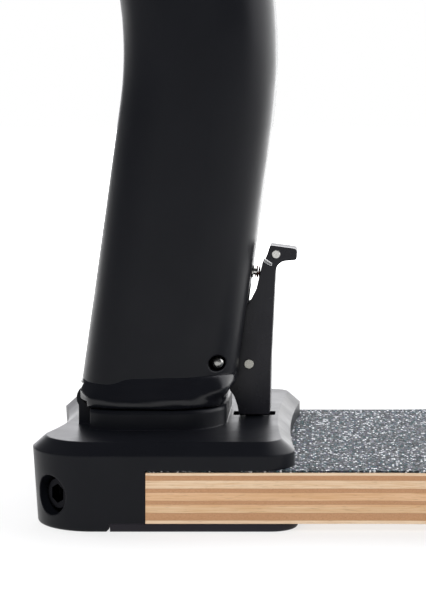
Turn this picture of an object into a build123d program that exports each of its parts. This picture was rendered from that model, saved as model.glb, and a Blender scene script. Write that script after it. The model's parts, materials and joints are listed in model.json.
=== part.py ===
from build123d import *
import os
from math import cos, hypot, radians, sin, tan

# Front joint of a plywood foot board: a board clamped in a metal bracket, with a wide hollow
# neck that stands on the bracket, folds forwards about a hinge at its front edge and is held
# down at the back by a sprung latch lever.
# Frame: +X runs back along the board, +Y is across it, +Z is up. The origin is on the underside
# of the clamp plate, in the middle of the bracket. All sizes are in millimetres.

# ---- Board: nine veneers and a grit sheet --------------------------------------------------
board_width = 106.0  # between the bracket's cheeks
board_full_width = 120.0  # at its widest, behind the bracket
board_tail_x = 246.0
board_tail_radius = 40.0
flare_x = 52.0  # the board starts to widen here
flare_length = 80.0  # and takes this far
shoulder_x = -17.2  # front end of the board at its two sides
tongue_x = -40.0  # front end of the tongue that goes into the nose
tongue_width = 76.0
tongue_radius = 5.0
# from the top down: kind of veneer and its thickness
veneers = [
    ("face", 0.8),
    ("cross", 1.4),
    ("long", 2.4),
    ("cross", 1.2),
    ("long", 2.4),
    ("cross", 1.1),
    ("long", 2.5),
    ("cross", 2.2),
    ("face", 1.0),
]
board_thickness = sum(thickness for kind, thickness in veneers)
tape_thickness = 0.6
tape_inset = 0.6  # grit sheet ends this far inside the board's edge
truck_x = 198.0  # middle of the four holes at the tail
truck_spacing_x = 53.9
truck_spacing_y = 41.3
truck_hole_radius = 2.6

# ---- Bracket and clamp plate ---------------------------------------------------------------
bracket_rear_x = 28.0
horn_x = -53.3  # the two front horns of the nose, where the bevel starts
nose_draft = 1.6  # the nose is this much further back at its underside
nose_corner_radius = 19.0
nose_hollow = 4.9  # the nose is hollowed between its horns by this much
horn_radius = 5.0
rear_hollow = 3.4
rear_corner_radius = 10.0
lip_height = 4.4
bevel_height = 3.5
bevel_inset = 4.0
plate_thickness = 2.5
plate_front_x = -28.0
plate_rear_corner_radius = 8.0
plate_gap = 0.3  # between the plate's front edge and the nose
board_clearance = 0.15
base_edge_radius = 0.8
clamp_screw_pitch_x = 20.3
clamp_screw_spread_y = 88.0
clamp_screw_x = -2.3  # middle of the six clamp screws
clamp_thread_depth = 5.6
clamp_screw_radius = 2.5
clamp_head_radius = 4.6
clamp_head_height = 2.1
clamp_head_sunk = 0.2
clamp_hex_size = 3.0
clamp_hex_depth = 1.6
screw_clearance = 0.3

# ---- Nose screws: one at each front corner, into a barrel nut in the tongue ----------------
nose_screw_angle = 50.0  # between the screw's axis and X
nose_screw_radius = 3.0
nose_head_radius = 5.0
nose_head_height = 6.0
nose_bore_radius = 6.0
nose_head_depth = 3.6  # from the corner's surface to the head's outer face
nose_screw_length = 19.5
nose_hex_size = 5.0
nose_hex_depth = 3.0
barrel_nut_radius = 5.0
barrel_nut_height = 12.0
barrel_nut_roof = 1.5  # veneer left above the nut
barrel_nut_distance = 26.0  # from the corner's surface, along the screw

# ---- Neck foot and hinge -------------------------------------------------------------------
foot_front_x = -41.8
foot_rear_x = 4.7
foot_width = 62.0
foot_front_radius = 15.0
foot_rear_radius = 15.0
boss_height = 6.0
boss_edge_radius = 1.2
foot_gap = 0.3
foot_height = 6.6
foot_edge_radius = 2.4
hinge_inset = 3.8  # hinge axis behind the foot's front face
hinge_rise = 2.3  # hinge axis above the boss
knuckle_radius = 4.2
knuckle_gap = 0.3
knuckle_half_width = 7.0  # neck knuckle, each way from the middle
ear_inner = 7.8
ear_outer = 19.5
washer_thickness = 0.6
hinge_pin_radius = 2.0
hinge_running_gap = 0.04
hinge_bush_radius = 2.8
buffer_radius = 3.5
buffer_depth = 2.5
buffer_spread_x = 24.0
buffer_spread_y = 40.0

# ---- Neck tube -----------------------------------------------------------------------------
neck_depth = 48.2  # fore and aft, square to the tube's line
neck_width = 56.0
neck_front_radius = 14.0
neck_rear_radius = 18.0
neck_wall = 2.5
neck_mid_x = -17.7  # tube's middle at the boss's top
neck_lean = 7.8  # backwards, in degrees
neck_bend_height = 91.0  # above the boss's top, along Z, to where the bend starts
neck_bend_radius = 145.0
neck_bend_angle = 17.0
neck_top_length = 24.0  # straight stretch above the bend
sleeve_bore_radius = 17.0
sleeve_flange = 2.5
sleeve_clearance = 0.15
weld_reach = 1.7
weld_height = 3.4

# ---- Latch lever, its block and its spring -------------------------------------------------
pivot_behind_foot = 6.6  # pivot pin's axis behind the foot's rear face
pivot_above_top = 16.8  # and above the bracket's top face
cheek_thickness = 3.0
core_thickness = 6.0
lever_ground_gap = 0.5
pivot_pin_radius = 1.65
pivot_running_gap = 0.05
head_pin_radius = 1.45
head_pin_dx = 8.7
head_pin_dz = 35.3
tongue_clearance = 0.15
tongue_end_radius = 3.8
tongue_turn_gap = 0.4
lever_slot_gap = 0.6
lever_slot_rise = 25.2  # top of the tube's slot above the pivot
slot_corner_radius = 3.0
block_half_width = 9.0
block_pin_radius = 2.0
block_pin_dx = -9.2
block_pin_dz = 2.8
block_pin_recess = 2.6
block_pin_half_length = 22.6
spring_dz = 29.4
spring_radius = 1.75
spring_wire_radius = 0.24
spring_turns = 6
spring_reach = 6.6  # from the tube's wall to the bottom of the blind hole
spring_pocket_radius = 2.35
peg_radius = 1.2
peg_flange_radius = 2.2
peg_flange = 0.5
strike_pin_radius = 2.0
strike_pin_length = 18.0
strike_behind_foot = 2.3
strike_below_top = 3.7
hook_gap = 0.15
hook_depth = 6.4  # below the bracket's top face
hook_rear_x = 15.5
hook_slot_room = 4.1  # behind the hook, for its two movements
lever_rear_low_dx = 6.75
keeper_thickness = 2.2
keeper_length = 13.0
keeper_width = 24.0
keeper_screw_radius = 1.5
keeper_head_radius = 2.8
keeper_screw_length = 5.0
keeper_screw_spread = 16.0
block_front_x = -9.0
block_top_z = 60.0
block_relief = 1.6
tongue_rise = 6.5  # tongue's root above the pivot

# ---- Heights and places that follow --------------------------------------------------------
z_board = plate_thickness
z_tape = z_board + board_thickness
z_lip = z_tape + tape_thickness
z_bevel = z_lip + lip_height
z_top = z_bevel + bevel_height
z_boss = z_top + boss_height
z_foot = z_boss + foot_gap
z_tube = z_foot + foot_height
nose_screw_z = z_tape - barrel_nut_roof - barrel_nut_height / 2
hinge_x = foot_front_x + hinge_inset
hinge_z = z_boss + hinge_rise
pivot_x = foot_rear_x + pivot_behind_foot
pivot_z = z_top + pivot_above_top
strike_x = foot_rear_x + strike_behind_foot
strike_z = z_top - strike_below_top
half_board = board_width / 2
lever_half = core_thickness / 2 + cheek_thickness
plate_rear_x = bracket_rear_x - 0.2
keeper_x = strike_x + 1 - keeper_length / 2
tongue_top_z = pivot_z + tongue_rise
hook_rear_dx = hook_rear_x - pivot_x
hook_foot_dz = z_top - hook_depth - pivot_z
lever_foot_dz = z_top + lever_ground_gap - pivot_z


def tube_mid_x(z):
    """Middle of the straight part of the neck at height z."""
    return neck_mid_x + (z - z_boss) * tan(radians(neck_lean))


def tube_rear_x(z, depth_in=0.0):
    """Rear face of the neck's straight part at height z, or that far inside it."""
    return tube_mid_x(z) + (neck_depth / 2 - depth_in) / cos(radians(neck_lean))


def save(builder, name):
    """Labels a finished piece and writes it as its own file."""
    builder.part.label = name
    export_step(builder.part, f"parts/{name}.step")


os.makedirs("parts", exist_ok=True)


# ==== Outlines used by more than one piece ==================================================
def board_outline(grow=0.0):
    """Plan of the board. A positive value grows it, for the pocket that it fits into."""
    tongue_half = tongue_width / 2
    wide_x = flare_x + flare_length
    middle = (flare_x + flare_length / 2, (half_board + board_full_width / 2) / 2)
    tail_half = board_full_width / 2
    with BuildSketch() as plan:
        with BuildLine():
            Line((tongue_x, 0), (tongue_x, tongue_half))
            Line((tongue_x, tongue_half), (shoulder_x, tongue_half))
            Line((shoulder_x, tongue_half), (shoulder_x, half_board))
            Line((shoulder_x, half_board), (flare_x, half_board))
            TangentArc((flare_x, half_board), middle, tangent=(1, 0))
            TangentArc((wide_x, tail_half), middle, tangent=(-1, 0))
            Line((wide_x, tail_half), (board_tail_x, tail_half))
            Line((board_tail_x, tail_half), (board_tail_x, 0))
            mirror(about=Plane.XZ)
        make_face()
        fillet(plan.vertices().group_by(Axis.X)[-1], board_tail_radius)
        fillet(plan.vertices().group_by(Axis.X)[0], tongue_radius)
        if grow:
            offset(amount=grow, kind=Kind.INTERSECTION)
    return plan.sketch


def foot_plan(front_x, rear_x, width):
    """Rounded rectangle of the neck's foot and of the boss under it."""
    with BuildSketch() as plan:
        with Locations(((front_x + rear_x) / 2, 0)):
            Rectangle(rear_x - front_x, width)
        fillet(plan.vertices().group_by(Axis.X)[0], foot_front_radius)
        fillet(plan.vertices().group_by(Axis.X)[-1], foot_rear_radius)
    return plan.sketch


def nose_screw_planes():
    """At each front corner, a plane on its surface whose normal is the screw's axis, outwards."""
    a = radians(nose_screw_angle)
    x = horn_x + nose_corner_radius * (1 - cos(a))
    y = half_board - nose_corner_radius * (1 - sin(a))
    z = nose_screw_z
    return [
        Plane(origin=(x, side * y, z), x_dir=(0, 0, 1), z_dir=(-cos(a), side * sin(a), 0))
        for side in (-1, 1)
    ]


def clamp_screw_places():
    """The six clamp screws, about their middle."""
    return GridLocations(clamp_screw_pitch_x, clamp_screw_spread_y, 3, 2)


def truck_places():
    """The four holes at the tail, about their middle."""
    return GridLocations(truck_spacing_x, truck_spacing_y, 2, 2)


def buffer_places():
    """The four buffers, about the middle of the boss."""
    return GridLocations(buffer_spread_x, buffer_spread_y, 2, 2)


def keeper_screw_places():
    """The two screws of the strike's keeper."""
    return GridLocations(1, keeper_screw_spread, 1, 2)


boss_mid_x = (foot_front_x + foot_rear_x) / 2
nose_planes = nose_screw_planes()
nut_centres = [plane.origin - plane.z_dir * barrel_nut_distance for plane in nose_planes]
nut_places = [(centre.X, centre.Y) for centre in nut_centres]

# ==== Board =================================================================================
board_plan = board_outline()
ply_builders = {}
for wanted in ("face", "cross", "long"):
    with BuildPart() as plies:
        z = z_tape
        for kind, thickness in veneers:
            z -= thickness
            if kind == wanted:
                with BuildSketch(Plane.XY.offset(z)):
                    add(board_plan)
                extrude(amount=thickness)
        with BuildSketch(Plane.XY.offset(z_board)):
            with Locations((clamp_screw_x, 0)):
                with clamp_screw_places():
                    Circle(clamp_screw_radius + screw_clearance)
            with Locations((truck_x, 0)):
                with truck_places():
                    Circle(truck_hole_radius)
        extrude(amount=board_thickness, mode=Mode.SUBTRACT)
        with BuildSketch(Plane.XY.offset(z_board)):
            with Locations(*nut_places):
                Circle(barrel_nut_radius)
        extrude(amount=board_thickness - barrel_nut_roof, mode=Mode.SUBTRACT)
        for plane in nose_planes:
            with BuildSketch(plane):
                Circle(nose_screw_radius + screw_clearance)
            extrude(amount=-barrel_nut_distance - barrel_nut_radius, mode=Mode.SUBTRACT)
    ply_builders[wanted] = plies
save(ply_builders["face"], "board_face_veneers")
save(ply_builders["cross"], "board_cross_veneers")
save(ply_builders["long"], "board_long_veneers")

with BuildPart() as grit_sheet:
    with BuildSketch(Plane.XY.offset(z_tape)):
        add(board_plan)
        offset(amount=-tape_inset, kind=Kind.INTERSECTION)
        with Locations((clamp_screw_x, 0)):
            with clamp_screw_places():
                Circle(clamp_screw_radius + screw_clearance, mode=Mode.SUBTRACT)
        with Locations((truck_x, 0)):
            with truck_places():
                Circle(truck_hole_radius, mode=Mode.SUBTRACT)
    extrude(amount=tape_thickness)
save(grit_sheet, "grit_sheet")

# ==== Deck bracket ==========================================================================
def bracket_plan(front_x, inset=0.0):
    """Plan of the bracket: its nose is hollowed between two horns, and its rear edge too."""
    front = front_x + inset
    rear = bracket_rear_x - inset
    with BuildSketch() as plan:
        with Locations(((front + rear) / 2, 0)):
            Rectangle(rear - front, board_width - 2 * inset)
        fillet(plan.vertices().group_by(Axis.X)[0], nose_corner_radius - inset)
        nose_span = half_board - nose_corner_radius
        nose_arc = (nose_span**2 + nose_hollow**2) / (2 * nose_hollow) + inset
        with Locations((front + nose_hollow - nose_arc, 0)):
            Circle(nose_arc, mode=Mode.SUBTRACT)
        rear_arc = (half_board**2 + rear_hollow**2) / (2 * rear_hollow) + inset
        with Locations((rear - rear_hollow + rear_arc, 0)):
            Circle(rear_arc, mode=Mode.SUBTRACT)
        fillet(plan.vertices().group_by(Axis.X)[-1], rear_corner_radius - inset)
        fillet(plan.vertices().group_by(Axis.X)[0], horn_radius - inset)
    return plan.sketch


with BuildPart() as deck_bracket:
    with BuildSketch():
        add(bracket_plan(horn_x + nose_draft))
    with BuildSketch(Plane.XY.offset(z_bevel)):
        add(bracket_plan(horn_x))
    loft(ruled=True)
    under_face = deck_bracket.faces().sort_by(Axis.Z)[0]
    fillet(under_face.edges(), base_edge_radius)
    with BuildSketch(Plane.XY.offset(z_bevel)):
        add(bracket_plan(horn_x))
    with BuildSketch(Plane.XY.offset(z_top)):
        add(bracket_plan(horn_x, bevel_inset))
    loft(ruled=True)
    # boss that carries the neck's foot, with its front cut back behind the hinge axis
    with BuildSketch(Plane.XY.offset(z_top - 0.5)):
        add(foot_plan(foot_front_x, foot_rear_x, foot_width))
        with Locations((foot_front_x, 0)):
            Rectangle(2 * (hinge_inset + 1.0), 2 * foot_width, mode=Mode.SUBTRACT)
    extrude(amount=boss_height + 0.5)
    boss_rim = deck_bracket.faces().sort_by(Axis.Z)[-1].edges().sort_by(Axis.X)[1:]
    fillet(boss_rim, boss_edge_radius)
    # two ears of the hinge, each on a pedestal
    for side in (-1, 1):
        with BuildSketch(Plane.XZ.offset(-side * (ear_inner + ear_outer) / 2)):
            with Locations((hinge_x, hinge_z)):
                Circle(knuckle_radius)
            with Locations((hinge_x, (hinge_z + z_bevel) / 2)):
                Rectangle(2 * knuckle_radius - 1.4, hinge_z - z_bevel)
        extrude(amount=(ear_outer - ear_inner) / 2, both=True)
    # room for the neck's knuckle between the ears, and bore of the pin
    with BuildSketch(Plane.XZ):
        with Locations((hinge_x, hinge_z)):
            Circle(knuckle_radius + knuckle_gap)
    extrude(amount=ear_inner, both=True, mode=Mode.SUBTRACT)
    with BuildSketch(Plane.XZ):
        with Locations((hinge_x, hinge_z)):
            Circle(hinge_pin_radius)
    extrude(amount=ear_outer, both=True, mode=Mode.SUBTRACT)
    # pocket for the board, and the seat of the clamp plate with its keying groove
    with BuildSketch(Plane.XY.offset(z_board)):
        add(board_outline(board_clearance))
    extrude(amount=z_lip - z_board, mode=Mode.SUBTRACT)
    with BuildSketch(Plane.XZ):
        with BuildLine():
            Polyline(
                (plate_front_x, 0.9),
                (plate_front_x, z_board),
                (shoulder_x - board_clearance, z_board),
                (shoulder_x - board_clearance, z_lip),
                (2 * bracket_rear_x, z_lip),
                (2 * bracket_rear_x, -1),
                (plate_front_x - 0.9, -1),
                (plate_front_x - 0.9, 0),
                close=True,
            )
        make_face()
    extrude(amount=board_width, both=True, mode=Mode.SUBTRACT)
    # threaded holes of the clamp screws
    with BuildSketch(Plane.XY.offset(z_board)):
        with Locations((clamp_screw_x, 0)):
            with clamp_screw_places():
                Circle(clamp_screw_radius)
    extrude(amount=z_lip - z_board + clamp_thread_depth, mode=Mode.SUBTRACT)
    # counterbored holes of the nose screws
    for plane in nose_planes:
        with BuildSketch(plane.offset(2 * nose_screw_radius)):
            Circle(nose_bore_radius)
        extrude(
            amount=-2 * nose_screw_radius - nose_head_depth - nose_head_height,
            mode=Mode.SUBTRACT,
        )
        with BuildSketch(plane):
            Circle(nose_screw_radius + screw_clearance)
        extrude(amount=-barrel_nut_distance, mode=Mode.SUBTRACT)
    # slot for the hook, cross seat of the strike pin, and recess of its keeper
    with BuildSketch(Plane.XY.offset(z_lip)) as hook_slot:
        with Locations(((strike_x - 1 + hook_rear_x + hook_slot_room) / 2, 0)):
            Rectangle(
                hook_rear_x + hook_slot_room - strike_x + 1,
                core_thickness + 2 * lever_slot_gap,
            )
        fillet(hook_slot.vertices(), 1.0)
    extrude(amount=z_top - z_lip, mode=Mode.SUBTRACT)
    with BuildSketch(Plane.XZ):
        with Locations((strike_x, strike_z)):
            Circle(strike_pin_radius)
        with Locations((strike_x, (strike_z + z_lip) / 2)):
            Rectangle(2 * strike_pin_radius, strike_z - z_lip)
    extrude(amount=strike_pin_length / 2, both=True, mode=Mode.SUBTRACT)
    with BuildSketch(Plane.XY.offset(z_lip)):
        with Locations((keeper_x, 0)):
            Rectangle(keeper_length, keeper_width)
    extrude(amount=keeper_thickness, mode=Mode.SUBTRACT)
    with BuildSketch(Plane.XY.offset(z_lip)):
        with Locations((keeper_x - 2, 0)):
            with keeper_screw_places():
                Circle(keeper_screw_radius)
    extrude(amount=keeper_screw_length, mode=Mode.SUBTRACT)
    # seats of the buffers
    with BuildSketch(Plane.XY.offset(z_boss)):
        with Locations((boss_mid_x + 1, 0)):
            with buffer_places():
                Circle(buffer_radius)
    extrude(amount=-buffer_depth, mode=Mode.SUBTRACT)
save(deck_bracket, "deck_bracket")

# ==== Clamp plate and its screws ============================================================
with BuildPart() as clamp_plate:
    with BuildSketch() as plate_plan:
        with Locations(((plate_front_x + plate_gap + plate_rear_x) / 2, 0)):
            Rectangle(plate_rear_x - plate_front_x - plate_gap, board_width)
        fillet(plate_plan.vertices().group_by(Axis.X)[-1], plate_rear_corner_radius)
    extrude(amount=plate_thickness)
    plate_under = clamp_plate.faces().sort_by(Axis.Z)[0].edges().sort_by(Axis.X)[1:]
    fillet(plate_under, base_edge_radius)
    with BuildSketch():
        with Locations((clamp_screw_x, 0)):
            with clamp_screw_places():
                Circle(clamp_head_radius)
    extrude(amount=clamp_head_sunk, mode=Mode.SUBTRACT)
    with BuildSketch(Plane.XY.offset(clamp_head_sunk)):
        with Locations((clamp_screw_x, 0)):
            with clamp_screw_places():
                Circle(clamp_head_radius)
    extrude(amount=clamp_head_height, taper=45, mode=Mode.SUBTRACT)
    with BuildSketch():
        with Locations((clamp_screw_x, 0)):
            with clamp_screw_places():
                Circle(clamp_screw_radius + screw_clearance)
    extrude(amount=plate_thickness, mode=Mode.SUBTRACT)
save(clamp_plate, "clamp_plate")

with BuildPart() as clamp_screws:
    with BuildSketch(Plane.XY.offset(clamp_head_sunk)):
        with Locations((clamp_screw_x, 0)):
            with clamp_screw_places():
                Circle(clamp_head_radius)
    extrude(amount=clamp_head_height, taper=45)
    with BuildSketch(Plane.XY.offset(clamp_head_sunk)):
        with Locations((clamp_screw_x, 0)):
            with clamp_screw_places():
                Circle(clamp_screw_radius)
    extrude(amount=z_lip + clamp_thread_depth - 0.6 - clamp_head_sunk)
    with BuildSketch(Plane.XY.offset(clamp_head_sunk)):
        with Locations((clamp_screw_x, 0)):
            with clamp_screw_places():
                RegularPolygon(clamp_hex_size / 2, 6, major_radius=False)
    extrude(amount=clamp_hex_depth, mode=Mode.SUBTRACT)
save(clamp_screws, "clamp_screws")

# ==== Nose screws and their barrel nuts =====================================================
with BuildPart() as nose_screws:
    for plane in nose_planes:
        with BuildSketch(plane.offset(-nose_head_depth)):
            Circle(nose_head_radius)
        extrude(amount=-nose_head_height)
        with BuildSketch(plane.offset(-nose_head_depth - nose_head_height)):
            Circle(nose_screw_radius)
        extrude(amount=-nose_screw_length)
    outer_ends = nose_screws.faces().filter_by(GeomType.PLANE).sort_by(Axis.X)[:2]
    fillet(outer_ends.edges(), 0.7)
    for plane in nose_planes:
        with BuildSketch(plane.offset(-nose_head_depth)):
            RegularPolygon(nose_hex_size / 2, 6, major_radius=False)
        extrude(amount=-nose_hex_depth, mode=Mode.SUBTRACT)
save(nose_screws, "nose_screws")

with BuildPart() as barrel_nuts:
    with BuildSketch(Plane.XY.offset(z_tape - barrel_nut_roof - barrel_nut_height)):
        with Locations(*nut_places):
            Circle(barrel_nut_radius)
    extrude(amount=barrel_nut_height)
    for plane in nose_planes:
        with BuildSketch(plane):
            Circle(nose_screw_radius)
        extrude(amount=-barrel_nut_distance - barrel_nut_radius, mode=Mode.SUBTRACT)
    for face in (barrel_nuts.faces().sort_by(Axis.Z)[:2], barrel_nuts.faces().sort_by(Axis.Z)[-2:]):
        chamfer(face.edges(), 0.5)
save(barrel_nuts, "barrel_nuts")

# ==== Strike pin and its keeper =============================================================
with BuildPart() as strike_pin:
    with BuildSketch(Plane.XZ):
        with Locations((strike_x, strike_z)):
            Circle(strike_pin_radius)
    extrude(amount=strike_pin_length / 2, both=True)
    chamfer(strike_pin.edges(), 0.4)
save(strike_pin, "strike_pin")

with BuildPart() as strike_keeper:
    with BuildSketch(Plane.XY.offset(z_lip)):
        with Locations((keeper_x, 0)):
            RectangleRounded(keeper_length - 0.2, keeper_width - 0.2, 1.5)
    extrude(amount=keeper_thickness)
    with BuildSketch(Plane.XY.offset(z_lip)):
        with Locations((keeper_x - 2, 0)):
            with keeper_screw_places():
                Circle(keeper_head_radius)
    extrude(amount=keeper_head_radius - keeper_screw_radius, taper=45, mode=Mode.SUBTRACT)
    with BuildSketch(Plane.XY.offset(z_lip)):
        with Locations((keeper_x - 2, 0)):
            with keeper_screw_places():
                Circle(keeper_screw_radius)
    extrude(amount=keeper_thickness, mode=Mode.SUBTRACT)
save(strike_keeper, "strike_keeper")

with BuildPart() as keeper_screws:
    with BuildSketch(Plane.XY.offset(z_lip)):
        with Locations((keeper_x - 2, 0)):
            with keeper_screw_places():
                Circle(keeper_head_radius)
    extrude(amount=keeper_head_radius - keeper_screw_radius, taper=45)
    with BuildSketch(Plane.XY.offset(z_lip)):
        with Locations((keeper_x - 2, 0)):
            with keeper_screw_places():
                Circle(keeper_screw_radius)
    extrude(amount=keeper_screw_length - 0.4)
save(keeper_screws, "keeper_screws")

with BuildPart() as seat_buffers:
    with BuildSketch(Plane.XY.offset(z_boss - buffer_depth)):
        with Locations((boss_mid_x + 1, 0)):
            with buffer_places():
                Circle(buffer_radius)
    extrude(amount=buffer_depth + foot_gap)
save(seat_buffers, "seat_buffers")

# ==== Hinge =================================================================================
with BuildPart() as hinge_pin:
    with BuildSketch(Plane.XZ):
        with Locations((hinge_x, hinge_z)):
            Circle(hinge_pin_radius)
    extrude(amount=ear_outer - 0.3, both=True)
    chamfer(hinge_pin.edges().filter_by(GeomType.CIRCLE), 0.4)
save(hinge_pin, "hinge_pin")

with BuildPart() as hinge_washers:
    for side in (-1, 1):
        with BuildSketch(Plane.XZ.offset(side * ear_inner - max(side, 0) * washer_thickness)):
            with Locations((hinge_x, hinge_z)):
                Circle(knuckle_radius - 0.2)
                Circle(hinge_pin_radius, mode=Mode.SUBTRACT)
        extrude(amount=washer_thickness)
save(hinge_washers, "hinge_washers")

with BuildPart() as hinge_bush:
    with BuildSketch(Plane.XZ):
        with Locations((hinge_x, hinge_z)):
            Circle(hinge_bush_radius)
            Circle(hinge_pin_radius + hinge_running_gap, mode=Mode.SUBTRACT)
    extrude(amount=knuckle_half_width, both=True)
save(hinge_bush, "hinge_bush")


# ==== Neck ==================================================================================
def neck_path():
    """Line of the neck's middle: it leans back, then bends forwards."""
    lean = radians(neck_lean)
    low = (tube_mid_x(z_boss - 12), z_boss - 12)
    bend = (tube_mid_x(z_boss + neck_bend_height), z_boss + neck_bend_height)
    centre = (bend[0] - neck_bend_radius * cos(lean), bend[1] + neck_bend_radius * sin(lean))
    with BuildLine(Plane.XZ) as path:
        Line(low, bend)
        CenterArc(centre, neck_bend_radius, -neck_lean, neck_bend_angle)
        top_angle = radians(neck_lean - neck_bend_angle)
        end = (
            centre[0] + neck_bend_radius * cos(top_angle),
            centre[1] - neck_bend_radius * sin(top_angle),
        )
        Line(
            end,
            (
                end[0] + neck_top_length * sin(top_angle),
                end[1] + neck_top_length * cos(top_angle),
            ),
        )
    return path.line


def neck_section(shrink=0.0):
    """Rounded section of the neck, with its rear towards local +X, made smaller all round."""
    with BuildSketch() as section:
        Rectangle(neck_depth, neck_width)
        fillet(section.vertices().group_by(Axis.X)[0], neck_front_radius)
        fillet(section.vertices().group_by(Axis.X)[-1], neck_rear_radius)
        if shrink:
            offset(amount=-shrink)
    return section.sketch


neck_line = neck_path()
low_plane = Plane(origin=neck_line @ 0, x_dir=(1, 0, -tan(radians(neck_lean))), z_dir=neck_line % 0)
top_plane = Plane(origin=neck_line @ 1, x_dir=(cos(radians(neck_bend_angle - neck_lean)), 0,
                  sin(radians(neck_bend_angle - neck_lean))), z_dir=neck_line % 1)
spring_seat = (tube_rear_x(pivot_z + spring_dz), 0, pivot_z + spring_dz)
spring_plane = Plane(origin=spring_seat, x_dir=(0, 1, 0), z_dir=(1, 0, -tan(radians(neck_lean))))

with BuildPart() as neck_tube:
    with BuildLine():
        add(neck_line)
    with BuildSketch(low_plane):
        add(neck_section())
        add(neck_section(neck_wall), mode=Mode.SUBTRACT)
    sweep()
    split(bisect_by=Plane.XY.offset(z_tube), keep=Keep.TOP)
    # slot in the rear wall, which the lever stands in
    slot_top = pivot_z + lever_slot_rise
    with BuildSketch(Plane.YZ.offset(tube_mid_x(z_tube))) as rear_slot:
        with Locations((0, (z_foot + slot_top) / 2)):
            Rectangle(2 * (lever_half + lever_slot_gap), slot_top - z_foot)
        fillet(rear_slot.vertices().group_by(Axis.Y)[-1], slot_corner_radius)
    extrude(amount=neck_depth, mode=Mode.SUBTRACT)
    # holes of the block's cross pin, widened where they come out of the tube
    with BuildSketch(Plane.XZ):
        with Locations((pivot_x + block_pin_dx, pivot_z + block_pin_dz)):
            Circle(block_pin_recess)
    extrude(amount=neck_width, both=True, mode=Mode.SUBTRACT)
    # hole of the spring's peg
    with BuildSketch(spring_plane):
        Circle(peg_radius)
    extrude(amount=neck_wall + 1, both=True, mode=Mode.SUBTRACT)
save(neck_tube, "neck_tube")

with BuildPart() as neck_foot:
    with BuildSketch(Plane.XY.offset(z_foot)):
        add(foot_plan(foot_front_x, foot_rear_x, foot_width))
    extrude(amount=foot_height)
    fillet(neck_foot.faces().sort_by(Axis.Z)[0].edges(), foot_edge_radius)
    fillet(neck_foot.faces().sort_by(Axis.Z)[-1].edges(), foot_edge_radius * 0.6)
    # nothing in front of the hinge reaches below its axis, so the foot can turn
    with BuildSketch(Plane.XZ):
        with Locations((hinge_x - 5, hinge_z - 4.9)):
            Rectangle(10, 10)
    extrude(amount=foot_width, both=True, mode=Mode.SUBTRACT)
    # room for the ears, with the neck upright and folded, then the knuckle between them
    with BuildSketch(Plane.XZ):
        with Locations((hinge_x, hinge_z)):
            Circle(knuckle_radius + knuckle_gap)
        with Locations((hinge_x - 5, hinge_z)):
            Rectangle(10, 2 * (z_tube - hinge_z))
    extrude(amount=ear_outer + 0.6, both=True, mode=Mode.SUBTRACT)
    with BuildSketch(Plane.XZ):
        with Locations((hinge_x, hinge_z)):
            Circle(knuckle_radius)
        with Locations((hinge_x + knuckle_radius, (hinge_z + z_tube) / 2)):
            Rectangle(2 * knuckle_radius, z_tube - hinge_z)
    extrude(amount=knuckle_half_width, both=True)
    with BuildSketch(Plane.XZ):
        with Locations((hinge_x, hinge_z)):
            Circle(hinge_bush_radius)
    extrude(amount=knuckle_half_width, both=True, mode=Mode.SUBTRACT)
    # notch that the lever stands in
    with BuildSketch(Plane.XY.offset(z_foot)):
        with Locations((foot_rear_x + 8.2, 0)):
            Rectangle(20, 2 * (lever_half + lever_slot_gap))
    extrude(amount=foot_height, mode=Mode.SUBTRACT)
save(neck_foot, "neck_foot")

with BuildPart() as weld_bead:
    with BuildSketch(Plane.XY.offset(z_tube)):
        with Locations((tube_mid_x(z_tube), 0)):
            add(neck_section())
        offset(amount=weld_reach)
    extrude(amount=weld_height, taper=24)
    with BuildSketch(low_plane):
        add(neck_section())
    extrude(amount=60, mode=Mode.SUBTRACT)
    with BuildSketch(Plane.XY.offset(z_tube)):
        with Locations((foot_rear_x + 8, 0)):
            Rectangle(20, 2 * (lever_half + lever_slot_gap))
    extrude(amount=2 * weld_height, mode=Mode.SUBTRACT)
save(weld_bead, "weld_bead")

with BuildPart() as neck_sleeve:
    with BuildSketch(top_plane):
        add(neck_section(neck_wall + sleeve_clearance))
    extrude(amount=-(neck_top_length - 1))
    with BuildSketch(top_plane):
        add(neck_section())
    extrude(amount=sleeve_flange)
    with BuildSketch(top_plane.offset(sleeve_flange)):
        Circle(sleeve_bore_radius)
    extrude(amount=-(neck_top_length + sleeve_flange), mode=Mode.SUBTRACT)
save(neck_sleeve, "neck_sleeve")

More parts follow.
